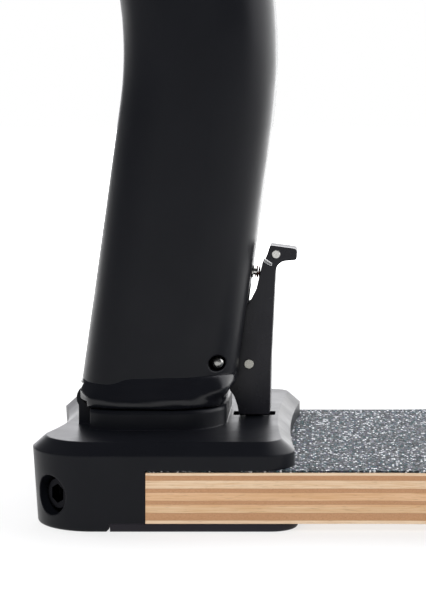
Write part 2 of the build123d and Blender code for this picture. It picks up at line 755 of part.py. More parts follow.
# ==== Latch block inside the neck ===========================================================
with BuildPart() as latch_block:
    with BuildSketch(Plane.XZ):
        with BuildLine():
            Polyline(
                (block_front_x, z_tube),
                (tube_rear_x(z_tube, neck_wall), z_tube),
                (tube_rear_x(block_top_z, neck_wall), block_top_z),
                (block_front_x, block_top_z),
                close=True,
            )
        make_face()
    extrude(amount=block_half_width, both=True)
    # relief for the lever's cheeks, each side of the tongue
    with BuildSketch(Plane.XZ):
        with BuildLine():
            Polyline(
                (tube_rear_x(z_tube, neck_wall) - block_relief, z_tube),
                (tube_rear_x(block_top_z, neck_wall) - block_relief, block_top_z),
                (pivot_x + 10, block_top_z),
                (pivot_x + 10, z_tube),
                close=True,
            )
        make_face()
    extrude(amount=lever_half + lever_slot_gap, both=True, mode=Mode.SUBTRACT)
    # tongue that carries the lever's pivot
    with BuildSketch(Plane.XZ):
        with Locations((pivot_x, pivot_z)):
            Circle(tongue_end_radius)
        with BuildLine():
            Polyline(
                (block_front_x + 4, pivot_z - tongue_end_radius),
                (pivot_x, pivot_z - tongue_end_radius),
                (pivot_x, pivot_z + tongue_end_radius),
                (tube_rear_x(tongue_top_z, neck_wall) - block_relief, tongue_top_z),
                (block_front_x + 4, tongue_top_z),
                close=True,
            )
        make_face()
    extrude(amount=core_thickness / 2 - tongue_clearance, both=True)
    with BuildSketch(Plane.XZ):
        with Locations((pivot_x, pivot_z)):
            Circle(pivot_pin_radius + pivot_running_gap)
        with Locations((pivot_x + block_pin_dx, pivot_z + block_pin_dz)):
            Circle(block_pin_radius)
    extrude(amount=block_half_width, both=True, mode=Mode.SUBTRACT)
save(latch_block, "latch_block")

with BuildPart() as block_pin:
    with BuildSketch(Plane.XZ):
        with Locations((pivot_x + block_pin_dx, pivot_z + block_pin_dz)):
            Circle(block_pin_radius)
    extrude(amount=block_pin_half_length, both=True)
    fillet(block_pin.edges().filter_by(GeomType.CIRCLE), block_pin_radius * 0.8)
save(block_pin, "block_pin")

with BuildPart() as spring_peg:
    with BuildSketch(spring_plane):
        Circle(peg_flange_radius)
    extrude(amount=peg_flange)
    with BuildSketch(spring_plane.offset(-neck_wall - 0.8)):
        Circle(peg_radius)
    extrude(amount=neck_wall + 0.8 + peg_flange + 1.2)
save(spring_peg, "spring_peg")


# ==== Latch lever ===========================================================================
def lever_outline():
    """Side profile of the lever, relative to its pivot: shank, waist, spring seat and thumb head."""
    with BuildSketch() as profile:
        with BuildLine():
            Polyline(
                (-3.2, lever_foot_dz),
                (lever_rear_low_dx, lever_foot_dz),
                (7.15, 1.3),
                (8.5, 28.3),
                (8.8, 32.9),
                (15.4, 33.4),
                (15.45, 37.0),
                (6.8, 38.2),
                (5.5, 34.2),
                (4.35, 32.8),
                (2.3, 23.8),
                (-0.5, 18.2),
                (-1.8, 19.9),
                (-3.7, 6.1),
                (-6.2, -6.5),
                (-6.1, -8.4),
                (-4.7, -10.3),
                (-3.7, -13.2),
                close=True,
            )
        make_face()

        def corner(dx, dz):
            """Corner of the profile nearest to a place."""
            places = profile.vertices()
            return min(places, key=lambda v: hypot(v.X - dx, v.Y - dz))

        fillet(corner(8.8, 32.9), 3.6)
        fillet(corner(-0.5, 18.2), 1.1)
        fillet(corner(15.4, 33.4), 0.9)
        fillet(corner(15.45, 37.0), 1.0)
        fillet(corner(6.8, 38.2), 0.6)
        fillet(corner(lever_rear_low_dx, lever_foot_dz), 0.8)
        fillet(corner(-6.1, -8.4), 0.8)
        # catch for a thumbnail under the head
        with Locations((5.6, 33.0)):
            SlotOverall(4.4, 1.1, rotation=-33, mode=Mode.SUBTRACT)
    return profile.sketch


lever_profile = lever_outline()
hinge_to_strike = hypot(strike_x - hinge_x, strike_z - hinge_z)
hook_radius = hinge_to_strike + strike_pin_radius + hook_gap
lever_plane = Plane(origin=(pivot_x, 0, pivot_z), x_dir=(1, 0, 0), z_dir=(0, -1, 0))

for side, name in ((1, "lever_cheek_near"), (-1, "lever_cheek_far")):
    with BuildPart() as cheek:
        with BuildSketch(lever_plane.offset(side * (core_thickness + cheek_thickness) / 2)):
            add(lever_profile)
            Circle(pivot_pin_radius, mode=Mode.SUBTRACT)
            with Locations((head_pin_dx, head_pin_dz)):
                Circle(head_pin_radius, mode=Mode.SUBTRACT)
        extrude(amount=cheek_thickness / 2, both=True)
        outside = cheek.faces().sort_by(Axis.Y)[0 if side > 0 else -1]
        long_edges = outside.outer_wire().edges().filter_by(lambda e: e.length > 8)
        chamfer(long_edges, 0.25)
    save(cheek, name)

with BuildPart() as lever_core:
    with BuildSketch(lever_plane):
        add(lever_profile)
        # hook below the shank
        with BuildLine():
            Polyline(
                (-3.2, lever_foot_dz + 2),
                (-3.2, hook_foot_dz),
                (hook_rear_dx, hook_foot_dz),
                (hook_rear_dx, lever_foot_dz + 2),
                close=True,
            )
        make_face()
        # clear of the block's tongue at the pivot
        Circle(tongue_end_radius + tongue_turn_gap, mode=Mode.SUBTRACT)
        with Locations((-10, 1.6)):
            Rectangle(20, 2 * tongue_end_radius + 6, mode=Mode.SUBTRACT)
        with Locations((head_pin_dx, head_pin_dz)):
            Circle(head_pin_radius, mode=Mode.SUBTRACT)
    extrude(amount=core_thickness / 2, both=True)
    # the hook's front follows the path of the strike as the neck folds
    with BuildSketch(Plane.XZ):
        with Locations((hinge_x, hinge_z)):
            Circle(hook_radius)
        with Locations((hinge_x, pivot_z)):
            Rectangle(
                4 * hook_radius,
                2 * (pivot_z - z_top - lever_ground_gap),
                mode=Mode.SUBTRACT,
            )
    extrude(amount=core_thickness, both=True, mode=Mode.SUBTRACT)
    # blind hole of the spring
    with BuildSketch(spring_plane):
        Circle(spring_pocket_radius)
    extrude(amount=spring_reach, mode=Mode.SUBTRACT)
save(lever_core, "lever_core")

with BuildPart() as pivot_pin:
    with BuildSketch(lever_plane):
        Circle(pivot_pin_radius)
    extrude(amount=lever_half + 0.1, both=True)
    chamfer(pivot_pin.edges().filter_by(GeomType.CIRCLE), 0.2)
save(pivot_pin, "lever_pivot_pin")

with BuildPart() as head_pin:
    with BuildSketch(lever_plane):
        with Locations((head_pin_dx, head_pin_dz)):
            Circle(head_pin_radius)
    extrude(amount=lever_half + 0.1, both=True)
    chamfer(head_pin.edges().filter_by(GeomType.CIRCLE), 0.2)
save(head_pin, "lever_head_pin")

with BuildPart() as lever_spring:
    coil_length = spring_reach - peg_flange - 2 * spring_wire_radius - 0.04
    with BuildLine():
        coil = Helix(
            pitch=coil_length / spring_turns,
            height=coil_length,
            radius=spring_radius,
            center=spring_plane.origin
            + spring_plane.z_dir * (peg_flange + spring_wire_radius + 0.02),
            direction=spring_plane.z_dir,
        )
    with BuildSketch(Plane(origin=coil @ 0, z_dir=coil % 0)):
        Circle(spring_wire_radius)
    sweep(is_frenet=True)
save(lever_spring, "lever_spring")
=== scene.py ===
import json
from math import cos, exp, pi, radians, sin, tan

import bmesh
import bpy
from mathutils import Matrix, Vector


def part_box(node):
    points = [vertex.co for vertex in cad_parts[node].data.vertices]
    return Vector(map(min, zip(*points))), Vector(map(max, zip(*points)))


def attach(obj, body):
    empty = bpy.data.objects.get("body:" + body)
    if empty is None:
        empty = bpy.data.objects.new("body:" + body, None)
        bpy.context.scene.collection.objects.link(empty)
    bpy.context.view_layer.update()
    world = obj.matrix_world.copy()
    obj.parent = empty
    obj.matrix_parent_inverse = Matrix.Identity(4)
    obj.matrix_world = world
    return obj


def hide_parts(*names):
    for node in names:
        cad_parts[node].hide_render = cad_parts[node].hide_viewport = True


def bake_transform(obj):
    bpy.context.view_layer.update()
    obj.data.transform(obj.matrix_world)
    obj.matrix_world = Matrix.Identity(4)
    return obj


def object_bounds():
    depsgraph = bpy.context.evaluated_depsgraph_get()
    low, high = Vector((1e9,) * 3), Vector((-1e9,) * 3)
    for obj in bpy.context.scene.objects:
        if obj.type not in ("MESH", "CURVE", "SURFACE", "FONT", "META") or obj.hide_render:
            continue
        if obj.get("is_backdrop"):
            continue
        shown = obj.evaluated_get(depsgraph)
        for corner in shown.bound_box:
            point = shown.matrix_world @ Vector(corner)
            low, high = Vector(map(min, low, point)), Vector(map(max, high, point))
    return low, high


bl_info = {
    "name": "Folding Neck and Foot Board",
    "version": (1, 0, 0),
    "blender": (4, 5, 0),
    "location": "View3D > Sidebar > Foot Board",
    "description": "Finishes a plywood foot board, its bracket and its folding neck",
    "category": "Object",
}

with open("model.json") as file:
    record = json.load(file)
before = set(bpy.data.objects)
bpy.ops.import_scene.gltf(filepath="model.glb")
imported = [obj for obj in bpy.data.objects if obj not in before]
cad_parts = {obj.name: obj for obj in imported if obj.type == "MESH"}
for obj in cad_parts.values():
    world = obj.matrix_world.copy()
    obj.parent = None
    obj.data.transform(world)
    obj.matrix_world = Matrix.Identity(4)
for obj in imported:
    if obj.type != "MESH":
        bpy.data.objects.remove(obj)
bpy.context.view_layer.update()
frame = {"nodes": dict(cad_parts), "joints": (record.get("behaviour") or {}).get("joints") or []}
NODES = frame["nodes"]
HINGE = Vector(frame["joints"][0]["pos_m"])  # of the folding neck, at its front edge

# ---- Sizes of the neck, its hinge and its spring, in metres ------------------------------
NECK_LEAN = radians(7.8)  # of the tube, backwards
WELD_REACH = 0.0017  # how far the bead stands out from the tube
LEVER_NOTCH = ((0.0028, -0.0066, 0.03), (0.05, 0.0066, 0.08))  # corners, open at the back
EAR_REACH = 0.0201  # from the middle out to the room for the bracket's two ears
EAR_RADIUS = 0.0045  # of that room, about the hinge
EAR_LENGTH = 0.02  # of that room, forwards
KNUCKLE_RADIUS = 0.0042
KNUCKLE_HALF = 0.007  # half its width
WEB_LENGTH = 0.0084  # from the hinge back into the foot
BUSH_RADIUS = 0.0028
BUSH_HOLE_HALF = 0.02  # half the length of the rod that cuts the bush's hole
WIRE_SIDES = 12  # of the lever's spring
COIL_STEPS = 40  # in one turn of it

# ---- Sizes of the cast foot and its weld, in metres --------------------------------------
FRONT_INSET = 0.0003  # room between the foot's front and the front of the CAD's box
CORNER_RADIUS = 0.0155  # of the foot's upright corners
CORNER_STEPS = 10
SIDE_STEP = 0.003  # between the cuts that divide a flat side
SIDE_FIRST = 0.018  # from a side's end to the first cut
SIDE_LAST = 0.0175  # from a side's other end, no cut is nearer
WELD_LOW, WELD_HIGH = 0.1, 0.8  # heights as shares, between which the weld is uneven
WELD_FADE = 4  # how fast it evens out towards them
FLOW_WIDTH = 0.009  # from one wave of the weld to the next
FLOW_SHARE = 0.45  # height of a wave, as a share of the bead
SOFT_EDGE = 0.0004  # of the knuckle and its web
FAR = 0.1  # outside the foot on every side
UNDER_FOOT = 0.02  # a height below all of the foot
UNDER_CUT = 0.01  # thickness of the block that levels the underside
FRONT_RISE = 0.0001  # of the foot's front edge above the hinge's line
# height up the foot as a share, how far its plan has gone from the foot's to the tube's, and
# how far it stands out beyond that
FOOT_PROFILE = (
    (0.00, 0.00, -0.0009),
    (0.03, 0.00, -0.0003),
    (0.08, 0.00, 0.0),
    (0.26, 0.00, 0.0),
    (0.38, 0.20, 0.0003),
    (0.48, 0.52, 0.0006),
    (0.58, 0.82, 0.0007),
    (0.68, 1.00, 0.0006),
    (0.78, 1.00, 0.00035),
    (0.88, 1.00, 0.00015),
    (1.00, 1.00, -0.0003),
)
# lumps of the weld: place, width, and height as a share of the bead
WELD_LUMPS = (
    (-0.0370, -0.0275, 0.0350, 0.0034, 0.40),
    (0.0045, -0.0240, 0.0366, 0.0040, 0.95),
    (0.0030, -0.0275, 0.0334, 0.0024, 0.45),
    (-0.0120, -0.0300, 0.0372, 0.0070, 0.25),
    (-0.0370, 0.0270, 0.0352, 0.0034, 0.40),
    (0.0040, 0.0245, 0.0362, 0.0038, 0.80),
    (-0.0220, 0.0300, 0.0370, 0.0060, 0.30),
)


# ---- Colours and shader helpers ----------------------------------------------------------
def linear(code):
    """Colour for a shader from a six-figure screen colour."""
    out = []
    for at in (0, 2, 4):
        c = int(code[at : at + 2], 16) / 255
        out.append(c / 12.92 if c <= 0.04045 else ((c + 0.055) / 1.055) ** 2.4)
    return (*out, 1.0)


def toned(colour, share, lift=0.0):
    """A colour made darker or paler: a share of itself, and a little more."""
    return tuple(min(1.0, value * share + lift) for value in colour[:3]) + (1.0,)


class Shader:
    """A material under construction, with short ways to add and join its nodes."""

    def __init__(self, name, colour, rough, metallic=0.0):
        self.mat = bpy.data.materials.new(name)
        self.mat.use_nodes = True
        self.tree = self.mat.node_tree
        self.bsdf = self.tree.nodes["Principled BSDF"]
        self.bsdf.inputs["Base Color"].default_value = colour
        self.bsdf.inputs["Roughness"].default_value = rough
        self.bsdf.inputs["Metallic"].default_value = metallic
        self.mat.diffuse_color = colour
        self.coord = self.node("ShaderNodeTexCoord").outputs["Object"]
        self.colour = colour

    def node(self, kind, **settings):
        made = self.tree.nodes.new(kind)
        for key, value in settings.items():
            setattr(made, key, value)
        return made

    def join(self, out, into):
        self.tree.links.new(out, into)

    def stretched(self, x, y, z):
        """Object coordinates for a pattern that repeats x, y and z times in a metre."""
        mapping = self.node("ShaderNodeMapping")
        mapping.inputs["Scale"].default_value = (x, y, z)
        self.join(self.coord, mapping.inputs["Vector"])
        return mapping.outputs["Vector"]

    def noise(self, scale, detail=3.0, rough=0.5, vector=None, distort=0.0):
        """Cloudy pattern that repeats scale times in a metre."""
        made = self.node("ShaderNodeTexNoise")
        made.inputs["Scale"].default_value = scale
        made.inputs["Detail"].default_value = detail
        made.inputs["Roughness"].default_value = rough
        made.inputs["Distortion"].default_value = distort
        self.join(vector or self.coord, made.inputs["Vector"])
        return made.outputs["Fac"]

    def cells(self, x, y, z):
        """Closely packed grains, x, y and z of them in a metre."""
        made = self.node("ShaderNodeTexVoronoi", feature="F1")
        made.inputs["Scale"].default_value = 1
        self.join(self.stretched(x, y, z), made.inputs["Vector"])
        return made

    def ramp(self, fac, *stops):
        """Colour ramp over (position, colour) stops."""
        made = self.node("ShaderNodeValToRGB")
        points = made.color_ramp.elements
        while len(points) < len(stops):
            points.new(0.5)
        for point, (at, colour) in zip(points, stops):
            point.position = at
            point.color = colour
        self.join(fac, made.inputs["Fac"])
        return made.outputs["Color"]

    def span(self, fac, low, high, out_low, out_high):
        """Maps one range of a value to another."""
        made = self.node("ShaderNodeMapRange")
        for name, value in (
            ("From Min", low),
            ("From Max", high),
            ("To Min", out_low),
            ("To Max", out_high),
        ):
            made.inputs[name].default_value = value
        self.join(fac, made.inputs["Value"])
        return made.outputs["Result"]

    def mix(self, fac, one, other):
        """Mixes two colours, each an output or a plain colour."""
        made = self.node("ShaderNodeMix", data_type="RGBA")
        for name, value in (("Factor", fac), ("A", one), ("B", other)):
            socket = [s for s in made.inputs if s.name == name and s.enabled][0]
            if isinstance(value, (float, int, tuple)):
                socket.default_value = value
            else:
                self.join(value, socket)
        return [s for s in made.outputs if s.enabled][0]

    def maths(self, kind, one, other=None):
        made = self.node("ShaderNodeMath", operation=kind)
        for at, value in enumerate((one, other)):
            if value is None:
                continue
            if isinstance(value, (float, int)):
                made.inputs[at].default_value = value
            else:
                self.join(value, made.inputs[at])
        return made.outputs[0]

    def bump(self, height, depth, strength=1.0, normal=None):
        made = self.node("ShaderNodeBump")
        made.inputs["Distance"].default_value = depth
        made.inputs["Strength"].default_value = strength
        self.join(height, made.inputs["Height"])
        if normal is not None:
            self.join(normal, made.inputs["Normal"])
        return made.outputs["Normal"]

    def soft_edge(self, radius):
        """Normal that rounds the sharp edges of a turned, cast or cut piece."""
        made = self.node("ShaderNodeBevel", samples=6)
        made.inputs["Radius"].default_value = radius
        return made.outputs["Normal"]

    def edge_mask(self, radius, width=0.12):
        """Near 1 along sharp edges and 0 on the open faces."""
        rounded = self.soft_edge(radius)
        plain = self.node("ShaderNodeNewGeometry").outputs["Normal"]
        dot = self.node("ShaderNodeVectorMath", operation="DOT_PRODUCT")
        self.join(rounded, dot.inputs[0])
        self.join(plain, dot.inputs[1])
        return self.span(dot.outputs["Value"], 1.0, 1.0 - width, 0.0, 1.0)

    def finish(self, colour=None, rough=None, normal=None):
        for value, name in ((colour, "Base Color"), (rough, "Roughness"), (normal, "Normal")):
            if value is not None:
                self.join(value, self.bsdf.inputs[name])
        return self.mat


# ---- Finishes ----------------------------------------------------------------------------
def powder_coat(name, code, rough, shine=0.18, peels=1 / 0.00035, depth=0.000006):
    """Black polyester powder baked on to aluminium: a fine orange peel, softly rounded edges
    that show a little paler where the coat is thin, and faint dust and handling marks. Its
    peel is 0.35 mm unless peels, the number in a metre, says otherwise."""
    # in a metre: clouds of 26 mm, wear of 1.1 mm, dust of 0.2 mm, smears of 14 mm
    clouds, wear, dust, smears = 38, 900, 5200, 70
    edge = 0.0007  # radius that a thick coat gives to an edge
    s = Shader(name, linear(code), rough)
    s.bsdf.inputs["Specular IOR Level"].default_value = shine
    paler = toned(s.colour, 1.9, 0.002)
    tone = s.ramp(s.noise(clouds, 4), (0.3, s.colour), (0.75, toned(s.colour, 1.22)))
    worn = s.maths("MULTIPLY", s.edge_mask(edge * 0.6), s.noise(wear, 5, 0.6))
    tone = s.mix(worn, tone, paler)
    specks = s.span(s.noise(dust, 2), 0.7, 0.78, 0.0, 0.55)
    tone = s.mix(specks, tone, paler)
    normal = s.bump(s.noise(peels, 2, 0.4), depth, 1.0, s.soft_edge(edge))
    gloss = s.span(s.noise(smears, 6, 0.62), 0.3, 0.7, rough - 0.05, rough + 0.06)
    return s.finish(tone, gloss, normal)


def milled_paint(name, code, rough):
    """Black lacquer over aluminium milled along its length: faint lengthwise tool marks."""
    # in a metre: marks 0.2 mm apart and 8 mm long, wear of 0.7 mm, smears of 8 mm
    apart, long, wear, smears = 5200, 130, 1400, 120
    s = Shader(name, linear(code), rough)
    s.bsdf.inputs["Specular IOR Level"].default_value = 0.22
    lines = s.noise(1, 3, 0.55, s.stretched(apart, apart, long))
    tone = s.ramp(lines, (0.3, s.colour), (0.8, toned(s.colour, 1.5)))
    worn = s.maths("MULTIPLY", s.edge_mask(0.0004), s.noise(wear, 5, 0.6))
    tone = s.mix(worn, tone, toned(s.colour, 3, 0.01))
    normal = s.bump(lines, 0.000004, 1.0, s.soft_edge(0.0003))
    gloss = s.span(s.noise(smears, 5), 0.3, 0.7, rough - 0.05, rough + 0.07)
    return s.finish(tone, gloss, normal)


def turned_steel(name, code, rough, centre):
    """Bright steel pin, turned: fine rings round its own axis, with a slightly soft edge."""
    ring_turn = 18000  # radians in a metre, which sets the rings 0.35 mm apart
    scuffs = 2600  # in a metre, 0.4 mm each
    s = Shader(name, linear(code), rough, 1.0)
    place = s.node("ShaderNodeVectorMath", operation="SUBTRACT")
    s.join(s.coord, place.inputs[0])
    place.inputs[1].default_value = centre
    flat = s.node("ShaderNodeVectorMath", operation="MULTIPLY")
    s.join(place.outputs[0], flat.inputs[0])
    flat.inputs[1].default_value = (1, 0, 1)
    length = s.node("ShaderNodeVectorMath", operation="LENGTH")
    s.join(flat.outputs[0], length.inputs[0])
    rings = s.maths("SINE", s.maths("MULTIPLY", length.outputs["Value"], ring_turn))
    marks = s.noise(scuffs, 4, 0.6)
    height = s.maths("ADD", s.maths("MULTIPLY", rings, 0.3), marks)
    tone = s.ramp(marks, (0.3, toned(s.colour, 0.72)), (0.7, s.colour))
    normal = s.bump(height, 0.000004, 1.0, s.soft_edge(0.00025))
    gloss = s.span(marks, 0.3, 0.7, rough - 0.06, rough + 0.1)
    return s.finish(tone, gloss, normal)


def plain_metal(name, code, rough, grains=4500):
    """Plated, blacked or oiled metal: an even cloudy tone, a fine grain and soft edges. The
    grain is 0.2 mm, coarser than a plated one, so that it shows."""
    clouds = 420  # in a metre, 2.4 mm each
    s = Shader(name, linear(code), rough, 1.0)
    cloud = s.noise(clouds, 5, 0.6)
    tone = s.ramp(cloud, (0.3, toned(s.colour, 0.7)), (0.72, s.colour))
    normal = s.bump(s.noise(grains, 3, 0.6), 0.000006, 1.0, s.soft_edge(0.00025))
    return s.finish(tone, s.span(cloud, 0.3, 0.7, rough - 0.06, rough + 0.1), normal)


def veneer(name, pales, dark, along_x, glue):
    """Beech veneer, sawn across and sealed. Along its grain it shows long thin streaks, and
    on its end it shows close dark pores. A thin dark glue line runs along its edges. Each
    layer comes from another log, so its tone follows its height: pales runs from the lowest
    up."""
    rough = 0.52
    s = Shader(name, linear(pales[len(pales) // 2]), rough)
    split = s.node("ShaderNodeSeparateXYZ")
    s.join(s.coord, split.inputs[0])
    low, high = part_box("board_face_veneers")
    level = s.span(split.outputs["Z"], low.z, high.z, 0.0, 1.0)
    stops = [(at / len(pales), linear(code)) for at, code in enumerate(pales)]
    pale = s.ramp(level, *stops)
    pale.node.color_ramp.interpolation = "CONSTANT"
    # fibres 0.3 to 0.7 mm thick and 14 to 17 mm long, with pores half as thick
    if along_x:
        fibres = s.noise(1, 4, 0.6, s.stretched(70, 2600, 3600), 0.4)
        pores = s.noise(1, 2, 0.5, s.stretched(260, 5200, 7000))
    else:
        fibres = s.noise(1, 4, 0.65, s.stretched(1500, 60, 2300), 0.4)
        pores = s.noise(1, 2, 0.5, s.stretched(5200, 200, 5200))
    drift = s.noise(1, 3, 0.5, s.stretched(28, 90, 260))  # slow change of tone in one log
    tone = s.mix(s.span(fibres, 0.25, 0.6, 0.75, 0.0), pale, linear(dark))
    tone = s.mix(s.span(drift, 0.35, 0.65, 0.0, 0.3), tone, linear(dark))
    tone = s.mix(s.span(pores, 0.62, 0.72, 0.0, 0.5), tone, linear(glue))
    glue_line = s.maths("MULTIPLY", s.edge_mask(0.00016, 0.2), 0.6)
    tone = s.mix(glue_line, tone, linear(glue))
    height = s.maths("SUBTRACT", fibres, s.maths("MULTIPLY", pores, 0.6))
    gloss = s.span(fibres, 0.3, 0.7, rough + 0.1, rough - 0.06)
    return s.finish(tone, gloss, s.bump(height, 0.00004))


def grit(name, base, dark, bright, cool, warm):
    """Silicon carbide grit glued to a sheet: close grains, most of them mid grey, many dark,
    some tinted blue-green or violet, and a scatter painted near white as glints. Each grain is
    painted darker towards its edge, as shade in the hollows between grains. The grains are 0.6
    mm along the board, and drawn twice as long across it, so that they still show from low
    beside it."""
    s = Shader(name, linear(base), 0.42)
    s.bsdf.inputs["Specular IOR Level"].default_value = 0.15
    grains = s.cells(1700, 800, 1700)
    small = s.cells(3200, 1500, 3200)
    split = s.node("ShaderNodeSeparateColor")
    s.join(grains.outputs["Color"], split.inputs["Color"])
    other = s.node("ShaderNodeSeparateColor")
    s.join(small.outputs["Color"], other.inputs["Color"])
    # dark grains up to mid grey; the top stop is painted highlight, near white grains as glints
    tone = s.ramp(
        split.outputs["Red"],
        (0.0, linear("15171A")),
        (0.45, linear(dark)),
        (0.66, linear(base)),
        (0.84, linear(bright)),
        (0.93, (0.95, 0.97, 1.0, 1)),
    )
    fine = s.ramp(other.outputs["Green"], (0.15, linear(dark)), (0.9, linear(bright)))
    tone = s.mix(0.2, tone, fine)
    tone = s.mix(s.span(split.outputs["Green"], 0.8, 0.86, 0.0, 0.4), tone, linear(cool))
    tone = s.mix(s.span(split.outputs["Blue"], 0.86, 0.9, 0.0, 0.35), tone, linear(warm))
    # painted shade: each grain darker towards its edge, in the hollows between grains
    hollow_shade = s.span(grains.outputs["Distance"], 0.35, 0.75, 0.0, 0.75)
    tone = s.mix(hollow_shade, tone, linear(dark))
    height = s.maths("SUBTRACT", split.outputs["Red"], grains.outputs["Distance"])
    first = s.bump(height, 0.00022, 0.9)
    normal = s.bump(other.outputs["Red"], 0.0001, 0.8, first)
    return s.finish(tone, s.span(split.outputs["Green"], 0, 1, 0.45, 0.9), normal)


def soft_plastic(name, code, rough):
    """Moulded plastic or rubber: a fine spark-eroded texture and softened edges."""
    clouds, texture = 90, 1 / 0.0003  # in a metre: clouds of 11 mm, texture of 0.3 mm
    s = Shader(name, linear(code), rough)
    speck = s.noise(texture, 3, 0.6)
    tone = s.ramp(s.noise(clouds, 4), (0.3, s.colour), (0.8, toned(s.colour, 1.5)))
    normal = s.bump(speck, 0.00001, 1.0, s.soft_edge(0.0005))
    return s.finish(tone, s.span(speck, 0.3, 0.7, rough - 0.05, rough + 0.08), normal)


def dress(name, material):
    """Gives a CAD node its finish."""
    slots = NODES[name].data.materials
    if len(slots) == 0:
        slots.append(material)
    for at in range(len(slots)):
        slots[at] = material


# ---- Mesh helpers ------------------------------------------------------------------------
def clear():
    """Leaves edit mode and selects nothing."""
    if bpy.context.object and bpy.context.object.mode != "OBJECT":
        bpy.ops.object.mode_set(mode="OBJECT")
    bpy.ops.object.select_all(action="DESELECT")


def pick(obj, kind, test):
    """In edit mode, selects just the vertices, edges or faces that pass a test."""
    bpy.ops.mesh.select_mode(type=kind)
    bpy.ops.mesh.select_all(action="DESELECT")
    mesh = bmesh.from_edit_mesh(obj.data)
    found = 0
    for part in {"VERT": mesh.verts, "EDGE": mesh.edges, "FACE": mesh.faces}[kind]:
        if test(part):
            part.select_set(True)
            found += 1
    mesh.select_flush_mode()
    bmesh.update_edit_mesh(obj.data)
    if not found:
        raise RuntimeError(f"nothing to select on {obj.name}")


def apply_all(obj):
    """Applies every modifier and leaves the object at the origin, unturned and unscaled."""
    clear()
    bpy.context.view_layer.objects.active = obj
    obj.select_set(True)
    for modifier in list(obj.modifiers):
        bpy.ops.object.modifier_apply(modifier=modifier.name)
    bpy.ops.object.transform_apply(location=True, rotation=True, scale=True)


def cut(obj, cutter):
    """Takes one mesh out of another, and removes the one that cut."""
    clear()
    bpy.context.view_layer.objects.active = obj
    obj.select_set(True)
    modifier = obj.modifiers.new("cut", "BOOLEAN")
    modifier.operation = "DIFFERENCE"
    modifier.solver = "EXACT"
    modifier.object = cutter
    bpy.ops.object.modifier_apply(modifier="cut")
    bpy.data.objects.remove(cutter, do_unlink=True)


def block(name, low, high):
    """A box between two corners."""
    clear()
    low, high = Vector(low), Vector(high)
    bpy.ops.mesh.primitive_cube_add(size=1, location=(low + high) / 2)
    made = bpy.context.object
    made.name = name
    made.scale = high - low
    bpy.ops.object.transform_apply(location=True, rotation=True, scale=True)
    return made


def rod(name, centre, radius, half_length, steps=48):
    """A cylinder across the board, about a point on its axis."""
    clear()
    bpy.ops.mesh.primitive_cylinder_add(
        vertices=steps,
        radius=radius,
        depth=2 * half_length,
        location=centre,
        rotation=(pi / 2, 0, 0),
    )
    made = bpy.context.object
    made.name = name
    bpy.ops.object.transform_apply(location=True, rotation=True, scale=True)
    return made


# ---- Sizes and colours a user would change -----------------------------------------------
class BoardSettings(bpy.types.PropertyGroup):
    """Colours of the board"""

    pale_ply: bpy.props.StringProperty(
        name="Pale veneer",
        description="Screen colour of the palest veneers",
        default="E8D0B2",
    )
    rosy_ply: bpy.props.StringProperty(
        name="Rosy veneer",
        description="Screen colour of the middle veneer",
        default="DBB48E",
    )
    amber_ply: bpy.props.StringProperty(
        name="Amber veneer",
        description="Screen colour of the lowest long veneer",
        default="DDBF9B",
    )
    tan_ply: bpy.props.StringProperty(
        name="Tan veneer",
        description="Screen colour of the veneers seen end on",
        default="BD9069",
    )
    grit_colour: bpy.props.StringProperty(
        name="Grit",
        description="Screen colour of the grit sheet's middle grey",
        default="3A4046",
    )


class MetalSettings(bpy.types.PropertyGroup):
    """Coat of the bracket and the neck, and the weld"""

    coat: bpy.props.StringProperty(
        name="Powder coat",
        description="Screen colour of the black coat",
        default="101115",
    )
    coat_roughness: bpy.props.FloatProperty(
        name="Roughness",
        description="How dull the black coat is",
        default=0.34,
        min=0,
        max=1,
    )
    bead_size: bpy.props.FloatProperty(
        name="Bead",
        description="How far the weld stands out",
        default=0.0016,
        unit="LENGTH",
    )


class LatchSettings(bpy.types.PropertyGroup):
    """Spring of the latch lever"""

    wire: bpy.props.FloatProperty(
        name="Wire",
        description="Thickness of the spring's wire",
        default=0.0004,
        unit="LENGTH",
    )
    turns: bpy.props.IntProperty(
        name="Turns",
        description="Working turns of the lever's spring",
        default=7,
        min=2,
    )


class StageSettings(bpy.types.PropertyGroup):
    """Light and camera"""

    key_power: bpy.props.FloatProperty(
        name="Key light",
        description="Power of the front light",
        default=16.3,
        unit="POWER",
    )
    lens: bpy.props.FloatProperty(
        name="Lens",
        description="Camera's focal length",
        default=110.34,
        unit="CAMERA",
    )


# ---- Pieces ------------------------------------------------------------------------------
class FOOTBOARD_OT_board(bpy.types.Operator):
    """Finishes the veneers and the grit sheet"""

    bl_idname = "footboard.board"
    bl_label = "Board"

    def execute(self, context):
        p = context.scene.footboard_board
        # nine veneers of beech, glued and sawn through, under a sheet of grit
        face = veneer("face veneer", (p.pale_ply, p.pale_ply), "CBA27C", True, "8A6444")
        dress("board_face_veneers", face)
        long_tones = (p.amber_ply, p.rosy_ply, p.pale_ply)
        long = veneer("long veneer", long_tones, "C0905F", True, "7E5A3D")
        dress("board_long_veneers", long)
        cross = veneer("cross veneer", (p.tan_ply, p.tan_ply), "A87A55", False, "6E4B31")
        dress("board_cross_veneers", cross)
        grains = grit("grit", p.grit_colour, "1B1E22", "757D84", "4C7A7D", "67587F")
        dress("grit_sheet", grains)
        return {"FINISHED"}


